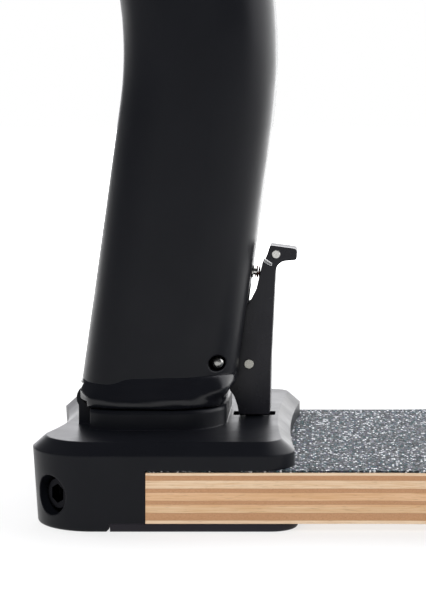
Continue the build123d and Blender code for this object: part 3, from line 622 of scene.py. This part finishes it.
class FOOTBOARD_OT_metal(bpy.types.Operator):
    """Finishes the bracket, the neck and the screws"""

    bl_idname = "footboard.metal"
    bl_label = "Bracket and neck"

    def execute(self, context):
        p = context.scene.footboard_metal
        # drawn tube, cast bracket and sawn plate of aluminium, all powder coated
        dress("neck_tube", powder_coat("tube coat", p.coat, p.coat_roughness))
        dress("deck_bracket", powder_coat("bracket coat", p.coat, p.coat_roughness, 0.14))
        dress("clamp_plate", powder_coat("plate coat", "201E23", 0.45))
        # nylon and rubber, moulded
        dress("neck_sleeve", soft_plastic("sleeve plastic", "202124", 0.5))
        dress("seat_buffers", soft_plastic("buffer rubber", "252525", 0.7))
        dress("hinge_washers", soft_plastic("nylon", "C9C8C2", 0.45))
        # steel screws, blacked and oiled
        black_screw = plain_metal("black oxide", "16161A", 0.24)
        for node in ("clamp_screws", "nose_screws"):
            dress(node, black_screw)
        # steel with zinc plate, a bush of sintered bronze, and a block of die-cast zinc
        zinc = plain_metal("zinc plate", "B9B9B2", 0.3)
        for node in ("barrel_nuts", "strike_keeper", "keeper_screws"):
            dress(node, zinc)
        dress("spring_peg", plain_metal("bright zinc", "F0EFEA", 0.2))
        dress("hinge_bush", plain_metal("sintered bronze", "A5804C", 0.42))
        dress("latch_block", plain_metal("dark zinc", "55555A", 0.4))
        return {"FINISHED"}


class FOOTBOARD_OT_latch(bpy.types.Operator):
    """Finishes the latch lever and its pins"""

    bl_idname = "footboard.latch"
    bl_label = "Latch lever"

    def execute(self, context):
        # plates of aluminium, milled and lacquered
        cheeks = milled_paint("lever black", "1C1C20", 0.27)
        for node in ("lever_cheek_near", "lever_cheek_far"):
            dress(node, cheeks)
        dress("lever_core", milled_paint("core black", "1B1B1F", 0.42))
        # steel pins, turned and left bright
        for node, code in (
            ("lever_pivot_pin", "B9B8B0"),
            ("lever_head_pin", "F2F1EC"),
            ("block_pin", "B4B4B0"),
            ("hinge_pin", "C9C8C4"),
            ("strike_pin", "C9C8C4"),
        ):
            low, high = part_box(node)
            dress(node, turned_steel(f"steel of {node}", code, 0.28, (low + high) / 2))
        return {"FINISHED"}


class FOOTBOARD_OT_spring(bpy.types.Operator):
    """Winds the small spring behind the lever"""

    bl_idname = "footboard.spring"
    bl_label = "Lever spring"

    def execute(self, context):
        p = context.scene.footboard_latch
        low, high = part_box("lever_spring")
        middle = (low + high) / 2
        lean = NECK_LEAN
        # the CAD's box holds a leaning cylinder, so the coil's length is worked back from it
        coil_radius = (high.y - low.y) / 2 - p.wire / 2
        level = high.x - low.x - (2 * coil_radius + p.wire) * sin(lean)
        length = level / cos(lean) - p.wire
        clear()
        bpy.ops.mesh.primitive_circle_add(
            vertices=WIRE_SIDES,
            radius=p.wire / 2,
            location=(coil_radius, 0, 0),
            rotation=(pi / 2, 0, 0),
        )
        coil = bpy.context.object
        coil.name = "lever_coil"
        bpy.ops.object.transform_apply(location=True, rotation=True, scale=True)
        screw = coil.modifiers.new("wind", "SCREW")
        screw.axis = "Z"
        screw.angle = 2 * pi
        screw.screw_offset = length / p.turns
        screw.iterations = p.turns
        screw.steps = screw.render_steps = COIL_STEPS
        screw.use_merge_vertices = True
        apply_all(coil)
        bpy.ops.object.mode_set(mode="EDIT")
        bpy.ops.mesh.select_all(action="SELECT")
        bpy.ops.mesh.remove_doubles(threshold=1e-7)
        bpy.ops.mesh.select_all(action="DESELECT")
        bpy.ops.mesh.select_mode(type="EDGE")
        bpy.ops.mesh.select_non_manifold()
        bpy.ops.mesh.edge_face_add()
        bpy.ops.mesh.select_all(action="SELECT")
        bpy.ops.mesh.normals_make_consistent(inside=False)
        bpy.ops.object.mode_set(mode="OBJECT")
        bpy.ops.object.shade_smooth_by_angle(angle=radians(50))
        # the coil was wound up Z from 0, so it is laid square to the neck's wall and placed
        along = Vector((cos(lean), 0, -sin(lean)))
        start, end = middle - along * length / 2, middle + along * length / 2
        coil.rotation_euler = (0, pi / 2 + lean, 0)
        coil.location = start
        apply_all(coil)
        # drawn spring steel, oiled, with the grain of its drawing 0.13 mm across
        coil.data.materials.append(plain_metal("spring wire", "9A6055", 0.34, 7800))
        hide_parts("lever_spring")
        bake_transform(coil)
        return {"FINISHED"}


class FOOTBOARD_OT_foot(bpy.types.Operator):
    """Shapes the neck's cast foot and the weld that joins the tube to it"""

    bl_idname = "footboard.foot"
    bl_label = "Foot and weld"

    def body(self, base_z, top_z):
        """A block drawn up, ring by ring, from the foot's plan to the tube's."""
        low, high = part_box("neck_foot")
        bead_low, bead_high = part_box("weld_bead")
        front_x, rear_x, half = low.x + FRONT_INSET, high.x, high.y
        mid_x, half_x = (front_x + rear_x) / 2, (rear_x - front_x) / 2
        tube_mid = (bead_low.x + bead_high.x) / 2
        tube_half_x = (bead_high.x - bead_low.x) / 2 - WELD_REACH
        tube_half = bead_high.y - WELD_REACH
        foot = block("cast_foot", (front_x, -half, base_z), (rear_x, half, top_z))
        bpy.ops.object.mode_set(mode="EDIT")
        pick(foot, "EDGE", lambda e: abs(e.verts[0].co.z - e.verts[1].co.z) > 0.001)
        bpy.ops.mesh.bevel(
            offset=CORNER_RADIUS, offset_type="OFFSET", segments=CORNER_STEPS, affect="EDGES"
        )
        # the flat sides are divided too, so that the weld can be uneven along them
        for normal, centre, reach in (((1, 0, 0), mid_x, half_x), ((0, 1, 0), 0.0, half)):
            at = -(reach - SIDE_FIRST)
            while at < reach - SIDE_LAST:
                bpy.ops.mesh.select_all(action="SELECT")
                place = Vector(normal) * (centre + at)
                bpy.ops.mesh.bisect(plane_co=place, plane_no=normal)
                at += SIDE_STEP
        heights = [base_z + (top_z - base_z) * at for at, share, swell in FOOT_PROFILE]
        for z in heights[1:-1]:
            bpy.ops.mesh.select_all(action="SELECT")
            bpy.ops.mesh.bisect(plane_co=(mid_x, 0, z), plane_no=(0, 0, 1))
        for z, (at, share, swell) in zip(heights, FOOT_PROFILE):
            pick(foot, "VERT", lambda v: abs(v.co.z - z) < 1e-6)
            wide_x = half_x + (tube_half_x - half_x) * share + swell
            wide_y = half + (tube_half - half) * share + swell
            slide = (tube_mid - mid_x + (z - bead_low.z) * tan(NECK_LEAN)) * share
            bpy.ops.transform.resize(
                value=(wide_x / half_x, wide_y / half, 1), center_override=(mid_x, 0, z)
            )
            bpy.ops.transform.translate(value=(slide, 0, 0))
        bpy.ops.object.mode_set(mode="OBJECT")
        smooth = foot.modifiers.new("round", "SUBSURF")
        smooth.levels = 2
        smooth.render_levels = 2
        smooth.boundary_smooth = "PRESERVE_CORNERS"
        apply_all(foot)
        return foot

    def weld(self, foot, base_z, top_z, bead_size):
        """Makes the weld uneven all the way round, with lumps where it starts and stops."""
        uneven = foot.vertex_groups.new(name="uneven")
        lumps = foot.vertex_groups.new(name="lumps")
        for v in foot.data.vertices:
            rise = (v.co.z - base_z) / (top_z - base_z)
            if WELD_LOW < rise < WELD_HIGH:
                fade = min(rise - WELD_LOW, WELD_HIGH - rise)
                uneven.add([v.index], min(1.0, WELD_FADE * fade), "REPLACE")
            # a lump fades out sideways, and stays off the foot's lower edge
            height = 0.0
            for x, y, z, width, share in WELD_LUMPS:
                away = (v.co - Vector((x, y, z))).length / width
                height += share * exp(-away * away)
            if height > 0.01 and rise > 0.02:
                lumps.add([v.index], min(1.0, height), "REPLACE")
        waves = bpy.data.textures.new("weld flow", "CLOUDS")
        waves.noise_scale = FLOW_WIDTH
        waves.noise_depth = 0
        flow = foot.modifiers.new("flow", "DISPLACE")
        flow.texture = waves
        flow.texture_coords = "LOCAL"
        flow.strength = bead_size * FLOW_SHARE
        flow.mid_level = 0.5
        flow.vertex_group = "uneven"
        swell = foot.modifiers.new("lumps", "DISPLACE")
        swell.strength = bead_size
        swell.mid_level = 0.0
        swell.vertex_group = "lumps"
        apply_all(foot)
        foot.vertex_groups.clear()

    def make_room(self, foot, base_z, bead_z):
        """Cuts a level underside, the notch for the lever and the room for the hinge."""
        x, z = HINGE.x, HINGE.z
        cut(foot, block("under", (-FAR, -FAR, base_z - UNDER_CUT), (FAR, FAR, base_z)))
        cut(foot, block("notch", *LEVER_NOTCH))
        cut(foot, block("front", (-FAR, -FAR, UNDER_FOOT), (x, FAR, z + FRONT_RISE)))
        cut(foot, rod("ears", (x, 0, z), EAR_RADIUS, EAR_REACH))
        room_low = (x - EAR_LENGTH, -EAR_REACH, UNDER_FOOT)
        cut(foot, block("front room", room_low, (x, EAR_REACH, bead_z)))

    def knuckle(self, bead_z):
        """The hinge's knuckle, bored for its bush, and the web that joins it to the foot."""
        x, z = HINGE.x, HINGE.z
        barrel = rod("foot_knuckle", (x, 0, z), KNUCKLE_RADIUS, KNUCKLE_HALF, steps=64)
        web = block("web", (x, -KNUCKLE_HALF, z), (x + WEB_LENGTH, KNUCKLE_HALF, bead_z))
        for piece in (barrel, web):
            soften = piece.modifiers.new("soften", "BEVEL")
            soften.width = SOFT_EDGE
            soften.segments = 3
            soften.limit_method = "ANGLE"
            apply_all(piece)
            cut(piece, rod("pin hole", (x, 0, z), BUSH_RADIUS, BUSH_HOLE_HALF))
        return barrel, web

    def execute(self, context):
        p = context.scene.footboard_metal
        bead_low, bead_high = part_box("weld_bead")
        base_z, top_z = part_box("seat_buffers")[1].z, bead_high.z
        foot = self.body(base_z, top_z)
        self.weld(foot, base_z, top_z, p.bead_size)
        self.make_room(foot, base_z, bead_low.z)
        pieces = self.knuckle(bead_low.z)
        clear()
        for piece in (*pieces, foot):
            piece.select_set(True)
        bpy.context.view_layer.objects.active = foot
        bpy.ops.object.join()
        bpy.ops.object.shade_smooth_by_angle(angle=radians(38))
        foot.data.materials.clear()
        # cast aluminium, welded and coated as one: the coat lies glossy and thick over the
        # weld, with an orange peel of 1.6 mm
        coat = powder_coat("foot coat", p.coat, 0.2, 0.3, 1 / 0.0016, 0.00004)
        foot.data.materials.append(coat)
        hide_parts("neck_foot", "weld_bead")
        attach(foot, "neck")
        return {"FINISHED"}


class FOOTBOARD_OT_stage(bpy.types.Operator):
    """Sets the floor, the lights, the surroundings and the camera"""

    bl_idname = "footboard.stage"
    bl_label = "Stage"

    # name, place, what it faces, size, and power as a share of the front light's
    LIGHTS = (
        ("key", (-0.25, -1.15, 1.0), (0, 0, 0.03), (1.0, 0.6), 1.0),
        ("rear left", (-0.9, 0.7, 0.7), (0, 0, 0.05), (0.8, 0.8), 0.6),
        ("rear right", (1.1, 0.6, 0.7), (0, 0, 0.05), (0.8, 0.8), 0.6),
    )
    TO_WALL = (0.66, 0.75, 0.0)  # direction of the white wall's middle
    # a share of the turn towards the wall, the grey level there, and the level of its blue
    ROOM_LEVELS = (
        (0.0, 0.05, 0.06),
        (0.5, 0.06, 0.0624),
        (0.62, 0.22, 0.2288),
        (0.76, 2.6, 2.704),
        (1.0, 3.0, 3.0),
    )
    CAMERA_PLACE = (0.038, -0.597, 0.1304)
    CAMERA_SHIFT = (-0.1983, -0.3475)

    def floor(self):
        """A pale floor like a light table, which glows more from a little way off."""
        clear()
        bpy.ops.mesh.primitive_plane_add(size=12, location=(0, 0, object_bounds()[0].z))
        floor = bpy.context.object
        floor.name = "floor"
        s = Shader("floor", linear("F4F4F4"), 0.75)
        s.finish(s.ramp(s.noise(3, 3), (0.3, linear("F2F2F3")), (0.7, linear("F6F6F6"))))
        # its own light comes up between 0.25 and 0.9 m from the object, and behind it grows
        # to three times as strong
        distance = s.node("ShaderNodeVectorMath", operation="LENGTH")
        s.join(s.coord, distance.inputs[0])
        glow = s.span(distance.outputs["Value"], 0.25, 0.9, 0.7, 1.0)
        lamp = s.node("ShaderNodeEmission")
        depth = s.node("ShaderNodeSeparateXYZ")
        s.join(s.coord, depth.inputs[0])
        s.join(s.span(depth.outputs["Y"], 0.15, 0.8, 1.0, 3.0), lamp.inputs["Strength"])
        blend = s.node("ShaderNodeMixShader")
        s.join(glow, blend.inputs["Fac"])
        s.join(s.bsdf.outputs[0], blend.inputs[1])
        s.join(lamp.outputs[0], blend.inputs[2])
        s.join(blend.outputs[0], s.tree.nodes["Material Output"].inputs["Surface"])
        floor.data.materials.append(s.mat)
        floor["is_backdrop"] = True

    def room(self, scene):
        """White all round to the eye. What lights the object is a white wall behind it that
        runs round to its right, with the room dim in front, on the left and overhead."""
        world = bpy.data.worlds.new("studio")
        scene.world = world
        world.use_nodes = True
        tree = world.node_tree
        tree.nodes.clear()
        seen = tree.nodes.new("ShaderNodeBackground")
        seen.inputs["Color"].default_value = (1, 1, 1, 1)
        coord = tree.nodes.new("ShaderNodeTexCoord")
        facing = tree.nodes.new("ShaderNodeVectorMath")
        facing.operation = "DOT_PRODUCT"
        facing.inputs[1].default_value = self.TO_WALL
        tree.links.new(coord.outputs["Generated"], facing.inputs[0])
        turn = tree.nodes.new("ShaderNodeMapRange")
        turn.inputs["From Min"].default_value = -1
        tree.links.new(facing.outputs["Value"], turn.inputs["Value"])
        ramp = tree.nodes.new("ShaderNodeValToRGB")
        tree.links.new(turn.outputs["Result"], ramp.inputs["Fac"])
        points = ramp.color_ramp.elements
        for at, grey, blue in self.ROOM_LEVELS[1:-1]:
            points.new(at)
        for point, (at, grey, blue) in zip(points, self.ROOM_LEVELS):
            point.color = (grey, grey, blue, 1)
        lit = tree.nodes.new("ShaderNodeBackground")
        tree.links.new(ramp.outputs["Color"], lit.inputs["Color"])
        path = tree.nodes.new("ShaderNodeLightPath")
        mix = tree.nodes.new("ShaderNodeMixShader")
        tree.links.new(path.outputs["Is Camera Ray"], mix.inputs["Fac"])
        tree.links.new(lit.outputs[0], mix.inputs[1])
        tree.links.new(seen.outputs[0], mix.inputs[2])
        out = tree.nodes.new("ShaderNodeOutputWorld")
        tree.links.new(mix.outputs[0], out.inputs["Surface"])

    def lights(self, scene, key_power):
        """Three soft boxes. None of them shows as a glint on the black coat."""
        for name, place, facing, size, share in self.LIGHTS:
            data = bpy.data.lights.new(name, "AREA")
            data.shape = "RECTANGLE"
            data.size, data.size_y = size
            data.energy = key_power * share
            lamp = bpy.data.objects.new(name, data)
            lamp.location = place
            towards = Vector(facing) - Vector(place)
            lamp.rotation_euler = towards.to_track_quat("-Z", "Y").to_euler()
            lamp.visible_glossy = False
            scene.collection.objects.link(lamp)

    def camera(self, scene, lens):
        """A level camera at the neck's side, shifted so that upright edges stay parallel."""
        data = bpy.data.cameras.new("camera")
        data.lens = lens
        data.sensor_width = 36
        data.clip_start = 0.01
        data.clip_end = 50
        data.dof.use_dof = False
        data.shift_x, data.shift_y = self.CAMERA_SHIFT
        camera = bpy.data.objects.new("camera", data)
        camera.location = self.CAMERA_PLACE
        camera.rotation_euler = (pi / 2, 0, 0)
        scene.collection.objects.link(camera)
        scene.camera = camera

    def execute(self, context):
        p = context.scene.footboard_stage
        self.floor()
        self.room(context.scene)
        self.lights(context.scene, p.key_power)
        self.camera(context.scene, p.lens)
        context.scene.view_settings.view_transform = "Standard"
        return {"FINISHED"}


OPERATORS = (
    FOOTBOARD_OT_board,
    FOOTBOARD_OT_metal,
    FOOTBOARD_OT_latch,
    FOOTBOARD_OT_spring,
    FOOTBOARD_OT_foot,
    FOOTBOARD_OT_stage,
)


class FOOTBOARD_PT_panel(bpy.types.Panel):
    """Lists the pieces and their settings"""

    bl_idname = "FOOTBOARD_PT_panel"
    bl_label = "Foot Board"
    bl_space_type = "VIEW_3D"
    bl_region_type = "UI"
    bl_category = "Foot Board"

    def draw(self, context):
        for group in GROUPS:
            settings = getattr(context.scene, group)
            for name in settings.bl_rna.properties.keys():
                if name not in ("rna_type", "name"):
                    self.layout.prop(settings, name)
        for operator in OPERATORS:
            self.layout.operator(operator.bl_idname)


GROUPS = {
    "footboard_board": BoardSettings,
    "footboard_metal": MetalSettings,
    "footboard_latch": LatchSettings,
    "footboard_stage": StageSettings,
}
CLASSES = (*GROUPS.values(), *OPERATORS, FOOTBOARD_PT_panel)


def register():
    for cls in CLASSES:
        bpy.utils.register_class(cls)
    for name, cls in GROUPS.items():
        setattr(bpy.types.Scene, name, bpy.props.PointerProperty(type=cls))


def unregister():
    for name in GROUPS:
        delattr(bpy.types.Scene, name)
    for cls in reversed(CLASSES):
        bpy.utils.unregister_class(cls)


def main():
    register()
    bpy.ops.footboard.board()
    bpy.ops.footboard.metal()
    bpy.ops.footboard.latch()
    bpy.ops.footboard.spring()
    bpy.ops.footboard.foot()
    bpy.ops.footboard.stage()


if __name__ == "__main__":
    main()
